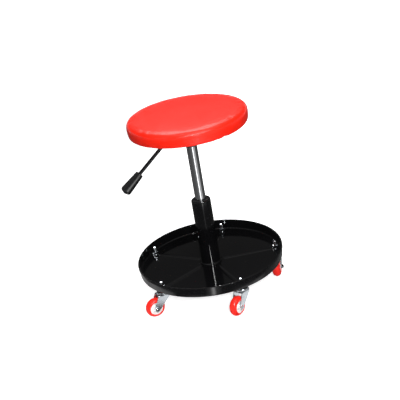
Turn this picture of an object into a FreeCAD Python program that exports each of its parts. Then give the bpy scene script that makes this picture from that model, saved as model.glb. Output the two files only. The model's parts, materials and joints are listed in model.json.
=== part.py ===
"""A rolling creeper seat: a round padded seat on a gas lift, over a round tool tray on five castors.

Millimetres, +Z up. The origin is on the column's axis, at the floor that the wheels stand on.
The seat is drawn at the top of its travel, with the front of the tray towards -Y.
"""
import FreeCAD, Part
import math
import os

from FreeCAD import Vector

os.makedirs("parts", exist_ok=True)

# Fits
running_clearance = 0.05  # radial, round a shaft that turns or slides in its hole
thrust_clearance = 0.1  # between flat faces that turn on each other
seating_clearance = 0.3  # between pieces that only pass each other
bolt_clearance = 0.25  # radial, round a bolt in its hole
overrun = 5.0  # how far a cutting tool runs past the faces that it cuts
join_tolerance = 0.001  # ends of an outline closer than this are one point

# Castor wheel
wheel_diameter = 50.8
tread_width = 22.0
tread_depth = 8.6
core_rim_width = 18.0
core_rim_wall = 3.0
core_web = 9.0
hub_diameter = 15.0
hub_width = 21.6
sleeve_wall = 1.5
axle_diameter = 6.0

# Castor fork
castor_count = 5
castor_trail = 27.3
fork_sheet = 2.0
fork_side_gap = 0.6
fork_end_radius = 6.5
fork_top_gap = 6.0  # over the wheel
fork_rear_reach = 17.0
fork_rear_heel = 20.5
fork_heel_drop = 7.0
fork_knee = 9.0  # in front of the kingpin
fork_knee_drop = 8.0
fork_knee_radius = 12.0
fork_bend_radius = 2.6
crown_diameter = 35.0
race_diameter = 27.0
race_height = 3.8
axle_nut_flats = 10.0
axle_nut_height = 4.5
axle_head_height = 3.0
axle_stub = 0.8

# Castor swivel
cup_diameter = 33.0
cup_sheet = 1.6
cup_skirt_gap = 1.0  # between the cup's skirt and the fork's crown
kingpin_diameter = 10.0
rivet_diameter = 17.0
rivet_height = 2.4
stem_diameter = 8.0
stem_flange_diameter = 19.0
stem_flange_height = 2.1
stem_above_floor = 20.9
nut_flats = 13.0
nut_height = 6.5
washer_diameter = 14.0
washer_thickness = 1.8

# Tray
tray_rim_diameter = 382.4
tray_depth = 27.6
tray_sheet = 1.2
tray_draft = 0.6  # how much wider the wall is at the top
tray_corner_radius = 3.6
hem_gap = 0.8  # between the wall and the hem folded over it
hem_drop = 6.0
hem_round_share = 0.45  # of the hem's width, rounded at each corner of its fold
castor_inset = 17.7  # from the rim in to a kingpin
first_castor_angle = 3.4
tray_rib_gap = 2.5  # between a rib's ends and the weld ring or a castor's washer
tray_rib_width = 12.0
tray_rib_height = 0.8

# Column
column_wall = 2.0
bush_wall = 8.95
column_above_tray = 181.6  # over the tray's underside
column_below_tray = 24.4
column_lip_radius = 3.0
column_lip_width = 4.5
bush_length = 80.0
bush_neck = 1.2
weld_ring_width = 4.0
weld_ring_height = 4.5
hub_plate_diameter = 124.0
hub_plate_sheet = 2.0
hub_plate_collar = 14.0
hub_plate_bend = 4.0
end_plate_thickness = 3.0
end_plate_recess = 4.0

# Gas lift
lift_stroke = 120.0
cylinder_diameter = 28.0
cylinder_wall = 1.5
cylinder_neck_wall = 2.0
cylinder_above_column = 148.6  # from the column's lip to the socket, seat raised
cylinder_lip = 2.0
cylinder_cap = 3.0
taper_length = 36.0
taper_top_diameter = 26.2
rod_diameter = 10.0
rod_stub_diameter = 8.0
rod_stub_length = 5.0
clip_diameter = 15.0
clip_thickness = 1.5
clip_groove = 1.0
thrust_washer_diameter = 24.0
thrust_washer_thickness = 1.5
thrust_ring_thickness = 3.0
buffer_diameter = 21.0
buffer_height = 12.0
buffer_gap = 1.0  # left between buffer and cylinder, seat lowered
rod_guide_length = 12.0
rod_seal_length = 6.0
piston_length = 14.0
piston_gap = 8.0  # between piston and seal, seat raised
piston_ring_width = 3.0
piston_ring_depth = 1.5
pressure_tube_gap = 1.5  # between the cylinder's bore and the tube
pressure_tube_wall = 1.0
valve_spigot = 8.0
valve_pin_diameter = 6.0
valve_pin_play = 0.4  # under the lever's rod
valve_pin_stand = 6.5
valve_pin_length = 44.0

# Seat plate and socket
socket_length = 49.0
socket_diameter = 38.0
socket_foot_diameter = 34.0
socket_wall = 4.0
plate_corner_gap = 16.66  # between the plate's corners and the cover's turned-in edge
plate_sheet = 2.5
plate_lip = 9.0
plate_corner_radius = 14.0
seat_bolt_inset = 20.0  # from the plate's edges
seat_bolt_diameter = 6.0
seat_bolt_flats = 10.0
seat_bolt_head = 4.0
seat_bolt_flange_diameter = 13.0
seat_bolt_flange_height = 1.5

# Release lever
lever_angle = 190.0
lever_rod_diameter = 9.0
lever_drop = 8.0  # rod's centre line under the seat plate
lever_tail = 6.0
lever_pivot = 27.0
lever_bend = 40.5
lever_bend_radius = 14.0
lever_slope = 40.1
lever_reach = 189.3
lever_slot_gap = 1.0
lever_travel = 6.0
lever_pin_diameter = 4.0
lever_pin_head_diameter = 6.5
lever_pin_head_height = 1.5
bracket_sheet = 2.0
bracket_length = 12.5
grip_length = 63.5
grip_neck_diameter = 20.4
grip_end_diameter = 28.6
grip_neck_chamfer = 1.5
grip_edge_radius = 7.0
grip_dome = 5.0
grip_wall_at_end = 9.0

# Cushion
seat_diameter = 304.0
cushion_height = 33.0
cushion_crown = 2.6
cushion_draw_in = 2.6
cushion_widest_share = 0.45
cushion_crown_share = 0.55
cushion_top_radius = 9.5
cushion_foot_radius = 5.2
cushion_side_radius = 60.0
cushion_crown_radius = 1500.0
cover_thickness = 1.2
cover_turn_in = 20.0
board_inset = 8.0  # inside the cushion's widest line
board_thickness = 12.0
tee_nut_flange_diameter = 19.0
tee_nut_flange_thickness = 1.5
tee_nut_barrel_diameter = 8.4
tee_nut_length = 9.0

# Where the castors stand, in degrees: each wheel trails its kingpin the way that it last rolled
right_trail_angle = 258.0
back_trail_angle = 248.0
left_trail_angle = 240.0
front_left_trail_angle = 199.8
front_right_trail_angle = 227.5
castor_trail_angles = {
    "right": right_trail_angle,
    "back": back_trail_angle,
    "left": left_trail_angle,
    "front_left": front_left_trail_angle,
    "front_right": front_right_trail_angle,
}

UP = Vector(0, 0, 1)
ORIGIN = Vector(0, 0, 0)

# Widths that follow from their neighbours
core_diameter = wheel_diameter - 2 * tread_depth
column_bore = cylinder_diameter + 2 * (running_clearance + bush_wall)
column_diameter = column_bore + 2 * column_wall
pressure_tube_diameter = cylinder_diameter - 2 * (cylinder_wall + pressure_tube_gap)
castor_circle_diameter = tray_rim_diameter - 2 * castor_inset
board_diameter = seat_diameter - 2 * board_inset
cover_mouth_radius = board_diameter / 2 - cover_turn_in
plate_straight = math.sqrt(2) * (cover_mouth_radius - plate_corner_gap - plate_corner_radius)
plate_width = plate_straight + 2 * plate_corner_radius
seat_bolt_spacing = plate_width - 2 * seat_bolt_inset

# Heights, from the floor up
axle_z = wheel_diameter / 2
crown_under_z = wheel_diameter + fork_top_gap
crown_top_z = crown_under_z + fork_sheet
race_top_z = crown_top_z + race_height
cup_under_z = race_top_z + thrust_clearance
cup_top_z = cup_under_z + cup_sheet
tray_under_z = cup_top_z + stem_flange_height
floor_z = tray_under_z + tray_sheet
rim_z = tray_under_z + tray_depth
column_top_z = tray_under_z + column_above_tray
column_foot_z = tray_under_z - column_below_tray
end_plate_z = column_foot_z + end_plate_recess
end_plate_top_z = end_plate_z + end_plate_thickness
thrust_ring_z = end_plate_top_z + thrust_washer_thickness + thrust_clearance
upper_washer_z = thrust_ring_z + thrust_ring_thickness
shoulder_z = upper_washer_z + thrust_washer_thickness
cylinder_foot_z = shoulder_z + buffer_height + buffer_gap + lift_stroke
guide_z = cylinder_foot_z + cylinder_wall
seal_z = guide_z + rod_guide_length
chamber_z = seal_z + rod_seal_length
piston_z = chamber_z + piston_gap
socket_z = column_top_z + cylinder_above_column
plate_under_z = socket_z + socket_length
board_z = plate_under_z + plate_sheet
lever_z = plate_under_z - lever_drop
pin_top_z = lever_z - lever_rod_diameter / 2 - valve_pin_play
cylinder_top_z = pin_top_z - valve_pin_stand
taper_z = cylinder_top_z - taper_length
cushion_z = board_z - cover_thickness
print("overall height", round(cushion_z + cushion_height + cushion_crown, 1))
print("castor height", round(tray_under_z, 1))


def rounded(corners):
    """A closed outline in the XZ plane through (x, z) or (x, z, radius) corners."""
    spots = [Vector(corner[0], 0, corner[1]) for corner in corners]
    turns = []
    for index, corner in enumerate(corners):
        here = spots[index]
        radius = corner[2] if len(corner) > 2 else 0
        if not radius:
            turns.append((here, None, here))
            continue
        back = (spots[index - 1] - here).normalize()
        ahead = (spots[(index + 1) % len(spots)] - here).normalize()
        half = back.getAngle(ahead) / 2
        inward = (back + ahead).normalize()
        middle = here + inward * (radius / math.sin(half) - radius)
        reach = radius / math.tan(half)
        turns.append((here + back * reach, middle, here + ahead * reach))
    edges = []
    for index, (start, middle, end) in enumerate(turns):
        if middle:
            edges.append(Part.Arc(start, middle, end).toShape())
        following = turns[(index + 1) % len(turns)][0]
        if following.distanceToPoint(end) > join_tolerance:
            edges.append(Part.makeLine(end, following))
    return Part.Wire(edges)


def turned(corners):
    """A solid of revolution about Z."""
    return Part.Face(rounded(corners)).revolve(ORIGIN, UP, 360)


def ring(inner_radius, outer_radius, low, high):
    """A plain ring about Z, or a disc where it has no inner radius."""
    return turned([(inner_radius, low), (outer_radius, low), (outer_radius, high), (inner_radius, high)])


def hexagon(flats, low, high):
    """A hexagonal prism about Z."""
    reach = flats / math.sqrt(3)
    angles = [math.radians(60 * side) for side in range(6)]
    spots = [Vector(reach * math.cos(angle), reach * math.sin(angle), low) for angle in angles]
    return Part.Face(Part.makePolygon(spots + spots[:1])).extrude(Vector(0, 0, high - low))


def slab(corners, width):
    """An outline in the XZ plane, given width along Y and centred on it."""
    face = Part.Face(rounded(corners))
    face.translate(Vector(0, -width / 2, 0))
    return face.extrude(Vector(0, width, 0))


def block(x_low, x_high, width, z_low, z_high):
    """A box centred on Y."""
    return Part.makeBox(x_high - x_low, width, z_high - z_low, Vector(x_low, -width / 2, z_low))


def rotated(shape, degrees, axis=UP, centre=ORIGIN):
    """A turned copy."""
    copy = shape.copy()
    copy.rotate(centre, axis, degrees)
    return copy


def moved(shape, offset):
    """A shifted copy."""
    copy = shape.copy()
    copy.translate(offset)
    return copy


def write(name, *solids):
    """One sub-part's file."""
    shape = solids[0] if len(solids) == 1 else Part.makeCompound(list(solids))
    assert shape.isValid(), name
    shape.exportStep(f"parts/{name}.step")


# Castors


def castor_stations():
    """Each castor's name, kingpin place and trail direction, anticlockwise from the right."""
    for index, (name, trail_angle) in enumerate(castor_trail_angles.items()):
        angle = math.radians(first_castor_angle + 360 * index / castor_count)
        radius = castor_circle_diameter / 2
        yield name, Vector(radius * math.cos(angle), radius * math.sin(angle), 0), trail_angle


def on_axle(shape):
    """A piece drawn about Z, laid along the castor's axle."""
    laid = rotated(shape, -90, Vector(1, 0, 0))
    return moved(laid, Vector(castor_trail, 0, axle_z))


def castor_tread():
    """The soft tyre, a crowned ring moulded on the core."""
    side_z = tread_width / 2
    seat_radius = core_diameter / 2
    crown = Part.Arc(
        Vector(seat_radius, 0, -side_z), Vector(wheel_diameter / 2, 0, 0), Vector(seat_radius, 0, side_z)
    ).toShape()
    seat = Part.makeLine(Vector(seat_radius, 0, side_z), Vector(seat_radius, 0, -side_z))
    return Part.Face(Part.Wire([crown, seat])).revolve(ORIGIN, UP, 360)


def castor_core():
    """The moulded wheel centre: rim, web and hub, open for the sleeve."""
    bore = axle_diameter / 2 + sleeve_wall + running_clearance
    hub = hub_diameter / 2
    rim = core_diameter / 2
    half = [
        (bore, hub_width / 2),
        (hub, hub_width / 2),
        (hub, core_web / 2),
        (rim - core_rim_wall, core_web / 2),
        (rim - core_rim_wall, core_rim_width / 2),
        (rim, core_rim_width / 2),
    ]
    return turned(half + [(radius, -height) for radius, height in reversed(half)])


def fork_gap():
    """Between the fork's legs, which is also the sleeve's length."""
    return hub_width + 2 * fork_side_gap


def castor_sleeve():
    """The steel sleeve that the wheel turns on, clamped between the fork's legs."""
    bore = axle_diameter / 2
    return ring(bore, bore + sleeve_wall, -fork_gap() / 2, fork_gap() / 2)


def castor_axle():
    """The axle bolt and its nut, which draw the legs against the sleeve."""
    radius = axle_diameter / 2
    face = fork_gap() / 2 + fork_sheet
    shank = ring(0, radius, -face, face + axle_nut_height + axle_stub)
    head = hexagon(axle_nut_flats, -face - axle_head_height, -face)
    nut = hexagon(axle_nut_flats, face, face + axle_nut_height)
    nut = nut.cut(ring(0, radius, face - overrun, face + axle_nut_height + overrun))
    return shank.fuse(head).removeSplitter().Solids + nut.Solids


def castor_axle_set():
    """The axle's bolt and nut, laid in place."""
    return [on_axle(solid) for solid in castor_axle()]


def castor_fork():
    """The pressed fork: a crown raised into a ball race, and two legs that sweep back to the axle."""
    width = fork_gap() + 2 * fork_sheet
    front = crown_diameter / 2
    end = fork_end_radius
    heel_z = crown_top_z - fork_heel_drop
    lean = (castor_trail - fork_rear_heel) / (heel_z - axle_z)
    legs = slab(
        [
            (-front, crown_top_z),
            (fork_rear_reach, crown_top_z),
            (fork_rear_heel, heel_z, end),
            (castor_trail + end * (1 + lean), axle_z - end, end),
            (castor_trail - end, axle_z - end, end),
            (-fork_knee, crown_under_z - fork_knee_drop, fork_knee_radius),
            (-front, crown_under_z - fork_sheet),
        ],
        width,
    )
    top_edges = [
        edge
        for edge in legs.Edges
        if min(v.Z for v in edge.Vertexes) > crown_top_z - join_tolerance
        and abs(edge.Vertexes[0].Y - edge.Vertexes[-1].Y) < join_tolerance
    ]
    legs = legs.makeFillet(fork_bend_radius, top_edges)
    front_trim = ring(0, front, axle_z - wheel_diameter, crown_top_z)
    rear_keep = block(0, castor_trail + wheel_diameter, width, axle_z - wheel_diameter, crown_top_z)
    legs = legs.common(front_trim.fuse(rear_keep))
    crown = ring(0, front, crown_under_z, crown_top_z)
    race = turned(
        [
            (0, crown_under_z),
            (race_diameter / 2, crown_under_z),
            (race_diameter / 2, race_top_z, fork_sheet),
            (0, race_top_z),
        ]
    )
    fork = legs.fuse([crown, race])
    fork = fork.cut(block(-wheel_diameter, wheel_diameter * 2, fork_gap(), -overrun, crown_under_z))
    hollow = race_diameter / 2 - fork_sheet
    fork = fork.cut(ring(0, hollow, crown_under_z - overrun, race_top_z - fork_sheet))
    kingpin_hole = kingpin_diameter / 2 + running_clearance
    fork = fork.cut(ring(0, kingpin_hole, crown_under_z - overrun, race_top_z + overrun))
    axle_hole = on_axle(ring(0, axle_diameter / 2, -width, width))
    return fork.cut(axle_hole).removeSplitter()


def castor_cup():
    """The upper race, a dished cap whose skirt hangs round the fork's race."""
    outer = cup_diameter / 2
    skirt_z = crown_top_z + cup_skirt_gap
    return turned(
        [
            (kingpin_diameter / 2, cup_under_z),
            (outer - cup_sheet, cup_under_z),
            (outer - cup_sheet, skirt_z),
            (outer, skirt_z),
            (outer, cup_top_z, 2 * cup_sheet),
            (kingpin_diameter / 2, cup_top_z),
        ]
    )


def castor_stem():
    """Kingpin, flange and threaded stem in one, with the rivet head that holds the fork up."""
    head_z = race_top_z - fork_sheet - thrust_clearance
    return turned(
        [
            (0, head_z - rivet_height),
            (rivet_diameter / 2, head_z - rivet_height),
            (rivet_diameter / 2, head_z),
            (kingpin_diameter / 2, head_z),
            (kingpin_diameter / 2, cup_top_z),
            (stem_flange_diameter / 2, cup_top_z),
            (stem_flange_diameter / 2, tray_under_z),
            (stem_diameter / 2, tray_under_z),
            (stem_diameter / 2, floor_z + stem_above_floor),
            (0, floor_z + stem_above_floor),
        ]
    )


def castor_nut():
    """The nut on the tray's floor that holds a castor."""
    low = floor_z + washer_thickness
    nut = hexagon(nut_flats, low, low + nut_height)
    return nut.cut(ring(0, stem_diameter / 2, low - overrun, low + nut_height + overrun))


def castor_washer():
    """The washer under a castor's nut."""
    return ring(stem_diameter / 2, washer_diameter / 2, floor_z, floor_z + washer_thickness)


def write_castors():
    """Five castors, each with its own fork, axle, sleeve, core and tread."""
    own = {
        "castor_fork": [castor_fork()],
        "castor_axle": castor_axle_set(),
        "castor_sleeve": [on_axle(castor_sleeve())],
        "castor_core": [on_axle(castor_core())],
        "castor_tread": [on_axle(castor_tread())],
    }
    shared = {
        "castor_stems": castor_stem(),
        "castor_cups": castor_cup(),
        "castor_nuts": castor_nut(),
        "castor_washers": castor_washer(),
    }
    for place, kingpin, trail_angle in castor_stations():
        for name, solids in own.items():
            write(f"{name}_{place}", *[moved(rotated(solid, trail_angle), kingpin) for solid in solids])
    for name, solid in shared.items():
        write(name, *[moved(solid, kingpin) for _, kingpin, _ in castor_stations()])


# Tray and column


def capsule(radius, z):
    """A round bar with ball ends along +X, as long as a tray rib."""
    inset = tray_rib_gap + tray_rib_width / 2
    start = column_diameter / 2 + weld_ring_width + inset
    end = castor_circle_diameter / 2 - washer_diameter / 2 - inset
    bar = Part.makeCylinder(radius, end - start, Vector(start, 0, z), Vector(1, 0, 0))
    balls = [Part.makeSphere(radius, Vector(x, 0, z)) for x in (start, end)]
    return bar.fuse(balls).removeSplitter()


def tray_rib(sheet):
    """The bar whose top makes a rib's outside, or its inside where sheet is taken off."""
    half = tray_rib_width / 2
    radius = (half**2 + tray_rib_height**2) / (2 * tray_rib_height)
    return capsule(radius - sheet, floor_z + tray_rib_height - radius)


def tray():
    """The pressed tray: a ribbed floor, a steep wall and a rim folded out and down."""
    hole = column_diameter / 2 + seating_clearance
    sheet = tray_sheet
    top = tray_rim_diameter / 2 - hem_gap - sheet
    foot = top - tray_draft
    hem_width = hem_gap + 2 * sheet
    pan = turned(
        [
            (hole, tray_under_z),
            (foot, tray_under_z, tray_corner_radius),
            (top, rim_z - sheet, hem_round_share * hem_gap),
            (tray_rim_diameter / 2 - sheet, rim_z - sheet, hem_round_share * hem_gap),
            (tray_rim_diameter / 2 - sheet, rim_z - hem_drop),
            (tray_rim_diameter / 2, rim_z - hem_drop),
            (tray_rim_diameter / 2, rim_z, hem_round_share * hem_width),
            (top - sheet, rim_z, hem_round_share * hem_width),
            (foot - sheet, floor_z, tray_corner_radius - sheet),
            (hole, floor_z),
        ]
    )
    above = ring(0, foot, tray_under_z + sheet / 2, rim_z)
    ribs = []
    hollows = []
    holes = []
    for index, (_, kingpin, _) in enumerate(castor_stations()):
        angle = first_castor_angle + 360 * index / castor_count
        ribs.append(rotated(tray_rib(0).common(above), angle))
        hollows.append(rotated(tray_rib(sheet), angle))
        bore = ring(0, stem_diameter / 2 + bolt_clearance, tray_under_z - overrun, floor_z + overrun)
        holes.append(moved(bore, kingpin))
    return pan.fuse(ribs).cut(hollows + holes).removeSplitter()


def column_tube():
    """The column: a tube with its top rolled in over the guide bush."""
    outer = column_diameter / 2
    inner = column_bore / 2
    lip = outer - column_lip_width
    return turned(
        [
            (inner, column_foot_z),
            (outer, column_foot_z),
            (outer, column_top_z, column_lip_radius),
            (lip, column_top_z, column_wall / 2),
            (lip, column_top_z - column_wall),
            (inner, column_top_z - column_wall),
        ]
    )


def guide_bush():
    """The plastic bush that the cylinder slides in, with a neck in the column's lip."""
    bore = cylinder_diameter / 2 + running_clearance
    shoulder = column_top_z - column_wall
    return turned(
        [
            (bore, shoulder - bush_length),
            (column_bore / 2, shoulder - bush_length),
            (column_bore / 2, shoulder),
            (column_diameter / 2 - column_lip_width - seating_clearance, shoulder),
            (column_diameter / 2 - column_lip_width - seating_clearance, shoulder + bush_neck),
            (bore, shoulder + bush_neck),
        ]
    )


def weld_ring():
    """The collar welded round the column's foot, on the tray's floor."""
    inner = column_diameter / 2
    outer = inner + weld_ring_width
    top = floor_z + weld_ring_height
    return turned(
        [
            (inner, floor_z),
            (outer, floor_z),
            (outer, top - weld_ring_width / 2),
            (outer - weld_ring_width / 2, top),
            (inner, top),
        ]
    )


def hub_plate():
    """The pressed plate under the tray, with a collar down the column."""
    inner = column_diameter / 2
    sheet = hub_plate_sheet
    return turned(
        [
            (inner, tray_under_z - hub_plate_collar),
            (inner + sheet, tray_under_z - hub_plate_collar),
            (inner + sheet, tray_under_z - sheet, hub_plate_bend),
            (hub_plate_diameter / 2, tray_under_z - sheet),
            (hub_plate_diameter / 2, tray_under_z),
            (inner, tray_under_z),
        ]
    )


def write_base():
    """The tray and the column, which carry everything else."""
    inner = column_bore / 2
    rod_hole = rod_stub_diameter / 2 + running_clearance
    washer = ring(
        rod_hole, thrust_washer_diameter / 2, end_plate_top_z, end_plate_top_z + thrust_washer_thickness
    )
    write("tray", tray())
    write("column_tube", column_tube())
    write("column_end_plate", ring(rod_hole, inner, end_plate_z, end_plate_top_z))
    write("column_weld_ring", weld_ring())
    write("tray_hub_plate", hub_plate())
    write("guide_bush", guide_bush())
    write("lower_thrust_washer", washer)


# Gas lift


def piston_rod():
    """The rod: a stub through the column's end plate, grooved for a clip, then the polished length."""
    radius = rod_diameter / 2
    stub = rod_stub_diameter / 2
    groove_z = end_plate_z - thrust_clearance - clip_thickness
    return turned(
        [
            (0, end_plate_z - rod_stub_length),
            (stub, end_plate_z - rod_stub_length),
            (stub, groove_z),
            (stub - clip_groove, groove_z),
            (stub - clip_groove, groove_z + clip_thickness),
            (stub, groove_z + clip_thickness),
            (stub, shoulder_z),
            (radius, shoulder_z),
            (radius, piston_z),
            (stub, piston_z),
            (stub, piston_z + piston_length),
            (0, piston_z + piston_length),
        ]
    )


def piston():
    """The piston on the rod's top, with a groove for its ring."""
    bore = rod_stub_diameter / 2
    outer = pressure_tube_diameter / 2 - pressure_tube_wall - running_clearance
    middle = piston_z + piston_length / 2
    half = piston_ring_width / 2
    return turned(
        [
            (bore, piston_z),
            (outer, piston_z),
            (outer, middle - half),
            (outer - piston_ring_depth, middle - half),
            (outer - piston_ring_depth, middle + half),
            (outer, middle + half),
            (outer, piston_z + piston_length),
            (bore, piston_z + piston_length),
        ]
    )


def piston_ring():
    """The ring in the piston's groove."""
    outer = pressure_tube_diameter / 2 - pressure_tube_wall - running_clearance
    middle = piston_z + piston_length / 2
    half = piston_ring_width / 2
    return ring(outer - piston_ring_depth, outer, middle - half, middle + half)


def write_gas_rod():
    """What turns in the column's foot with the rod."""
    stub = rod_stub_diameter / 2
    washer = thrust_washer_diameter / 2
    clip_z = end_plate_z - thrust_clearance - clip_thickness
    write("piston_rod", piston_rod())
    write("piston", piston())
    write("piston_ring", piston_ring())
    write("rod_clip", ring(stub - clip_groove, clip_diameter / 2, clip_z, clip_z + clip_thickness))
    write("thrust_ring", ring(stub, washer, thrust_ring_z, upper_washer_z))
    write("upper_thrust_washer", ring(stub, washer, upper_washer_z, shoulder_z))
    write("lift_buffer", ring(rod_diameter / 2, buffer_diameter / 2, shoulder_z, shoulder_z + buffer_height))


def gas_cylinder():
    """The chromed cylinder: a straight length for the bush, and a tapered neck for the socket."""
    outer = cylinder_diameter / 2
    bore = outer - cylinder_wall
    top = taper_top_diameter / 2
    neck = top - cylinder_neck_wall
    hole = valve_pin_diameter / 2 + seating_clearance
    return turned(
        [
            (bore - cylinder_lip, cylinder_foot_z),
            (outer, cylinder_foot_z, cylinder_wall / 2),
            (outer, taper_z),
            (top, cylinder_top_z),
            (hole, cylinder_top_z),
            (hole, cylinder_top_z - cylinder_cap),
            (neck, cylinder_top_z - cylinder_cap),
            (neck, taper_z),
            (bore, taper_z),
            (bore, guide_z),
            (bore - cylinder_lip, guide_z),
        ]
    )


def valve_body():
    """The valve block in the cylinder's neck, bored for the release pin."""
    bore = valve_pin_diameter / 2 + running_clearance
    neck = taper_top_diameter / 2 - cylinder_neck_wall
    spigot = pressure_tube_diameter / 2 - pressure_tube_wall
    return turned(
        [
            (bore, taper_z - valve_spigot),
            (spigot, taper_z - valve_spigot),
            (spigot, taper_z),
            (neck, taper_z),
            (neck, cylinder_top_z - cylinder_cap),
            (bore, cylinder_top_z - cylinder_cap),
        ]
    )


def write_gas_cylinder():
    """The cylinder and what is inside it."""
    bore = cylinder_diameter / 2 - cylinder_wall
    rod = rod_diameter / 2 + running_clearance
    tube = pressure_tube_diameter / 2
    pin_foot_z = pin_top_z - valve_pin_length
    write("gas_cylinder", gas_cylinder())
    write("rod_guide", ring(rod, bore, guide_z, seal_z))
    write("rod_seal", ring(rod, bore, seal_z, chamber_z))
    write("pressure_tube", ring(tube - pressure_tube_wall, tube, chamber_z, taper_z))
    write("valve_body", valve_body())
    write("valve_pin", ring(0, valve_pin_diameter / 2, pin_foot_z, pin_top_z))


# Seat plate and lever, drawn with the lever along +X and turned to its angle


def along_lever(shape):
    """A piece drawn with the lever along +X, turned to the lever's angle."""
    return rotated(shape, lever_angle)


def taper_socket():
    """The tapered socket welded under the seat plate, slotted for the lever."""
    body = turned(
        [
            (0, socket_z),
            (socket_foot_diameter / 2, socket_z),
            (socket_diameter / 2, plate_under_z),
            (0, plate_under_z),
        ]
    )
    growth = (cylinder_diameter - taper_top_diameter) / 2 / taper_length
    foot = taper_top_diameter / 2 + growth * (cylinder_top_z - socket_z + overrun)
    taper = turned(
        [
            (0, socket_z - overrun),
            (foot, socket_z - overrun),
            (taper_top_diameter / 2, cylinder_top_z),
            (0, cylinder_top_z),
        ]
    )
    chamber = ring(0, socket_diameter / 2 - socket_wall, cylinder_top_z, plate_under_z + overrun)
    slot_half = lever_rod_diameter / 2 + lever_slot_gap
    dip = lever_pivot * math.tan(math.radians(lever_travel))
    slot = block(0, socket_diameter, 2 * slot_half, lever_z - slot_half - dip, plate_under_z + overrun)
    return along_lever(body.cut([taper, chamber, slot]).removeSplitter())


def seat_bolt_places():
    """The four bolts of the seat plate."""
    half = seat_bolt_spacing / 2
    return [Vector(x, y, 0) for x in (-half, half) for y in (-half, half)]


def seat_plate():
    """The pressed plate under the board, its edges turned down."""
    low = plate_under_z - plate_lip
    pan = Part.makeBox(
        plate_width, plate_width, board_z - low, Vector(-plate_width / 2, -plate_width / 2, low)
    )
    uprights = [edge for edge in pan.Edges if edge.Vertexes[0].Z != edge.Vertexes[-1].Z]
    pan = pan.makeFillet(plate_corner_radius, uprights)
    rim = [edge for edge in pan.Edges if min(v.Z for v in edge.Vertexes) > board_z - join_tolerance]
    pan = pan.makeFillet(plate_sheet, rim)
    inner = plate_width - 2 * plate_sheet
    hollow = Part.makeBox(
        inner, inner, plate_lip + overrun, Vector(-inner / 2, -inner / 2, low - overrun)
    )
    uprights = [edge for edge in hollow.Edges if edge.Vertexes[0].Z != edge.Vertexes[-1].Z]
    hollow = hollow.makeFillet(plate_corner_radius - plate_sheet, uprights)
    bore = ring(0, seat_bolt_diameter / 2 + bolt_clearance, low, board_z + overrun)
    holes = [moved(bore, place) for place in seat_bolt_places()]
    return pan.cut([hollow] + holes).removeSplitter()


def seat_bolt():
    """A flanged bolt up through the plate and the board."""
    flange_z = plate_under_z - seat_bolt_flange_height
    shank = ring(0, seat_bolt_diameter / 2, flange_z, board_z + board_thickness - tee_nut_flange_thickness)
    flange = ring(0, seat_bolt_flange_diameter / 2, flange_z, plate_under_z)
    head = hexagon(seat_bolt_flats, flange_z - seat_bolt_head, flange_z)
    return shank.fuse([flange, head]).removeSplitter()


def tee_nut():
    """A tee nut let into the board's top."""
    top = board_z + board_thickness
    thread = seat_bolt_diameter / 2
    return turned(
        [
            (thread, top - tee_nut_length),
            (tee_nut_barrel_diameter / 2, top - tee_nut_length),
            (tee_nut_barrel_diameter / 2, top - tee_nut_flange_thickness),
            (tee_nut_flange_diameter / 2, top - tee_nut_flange_thickness),
            (tee_nut_flange_diameter / 2, top),
            (thread, top),
        ]
    )


def lever_bracket():
    """The folded bracket under the plate, with an ear each side of the lever."""
    width = lever_rod_diameter + 2 * (seating_clearance + bracket_sheet)
    low = lever_z - bracket_length / 2
    half = bracket_length / 2
    body = slab(
        [
            (lever_pivot - half, plate_under_z),
            (lever_pivot - half, low, half - bracket_sheet),
            (lever_pivot + half, low, half - bracket_sheet),
            (lever_pivot + half, plate_under_z),
        ],
        width,
    )
    gap = lever_rod_diameter + 2 * seating_clearance
    body = body.cut(block(0, plate_width, gap, low - overrun, plate_under_z - bracket_sheet))
    hole = lever_cross(lever_pin_diameter / 2, width)
    return along_lever(body.cut(hole).removeSplitter())


def lever_cross(radius, length):
    """A round bar across the lever at its pivot."""
    return Part.makeCylinder(radius, length, Vector(lever_pivot, -length / 2, lever_z), Vector(0, 1, 0))


def lever_pin():
    """The pivot pin, headed at both ends of the bracket."""
    width = lever_rod_diameter + 2 * (seating_clearance + bracket_sheet)
    shank = lever_cross(lever_pin_diameter / 2, width)
    face = Vector(lever_pivot, width / 2, lever_z)
    head = Part.makeCylinder(lever_pin_head_diameter / 2, lever_pin_head_height, face, Vector(0, 1, 0))
    other = head.mirror(ORIGIN, Vector(0, 1, 0))
    return along_lever(shank.fuse([head, other]).removeSplitter())


def lever_end():
    """Where the lever's centre line ends, and its direction there."""
    slope = math.radians(lever_slope)
    direction = Vector(math.cos(slope), 0, -math.sin(slope))
    drop = (lever_reach - lever_bend) * math.tan(slope)
    return Vector(lever_reach, 0, lever_z - drop), direction


def lever_rod():
    """The bent rod: its tail lies over the release pin, and its far end is in the grip."""
    end, direction = lever_end()
    end = end - direction * grip_wall_at_end
    corner = Vector(lever_bend, 0, lever_z)
    reach = lever_bend_radius * math.tan(math.radians(lever_slope) / 2)
    start = Vector(-lever_tail, 0, lever_z)
    before = corner - Vector(reach, 0, 0)
    after = corner + direction * reach
    centre = before - Vector(0, 0, lever_bend_radius)
    middle = centre + (corner - centre).normalize() * lever_bend_radius
    path = Part.Wire(
        [Part.makeLine(start, before), Part.Arc(before, middle, after).toShape(), Part.makeLine(after, end)]
    )
    section = Part.Wire([Part.makeCircle(lever_rod_diameter / 2, start, Vector(1, 0, 0))])
    rod = path.makePipeShell([section], True, False)
    hole = lever_cross(lever_pin_diameter / 2 + running_clearance, 2 * lever_rod_diameter)
    return along_lever(rod.cut(hole))


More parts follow.
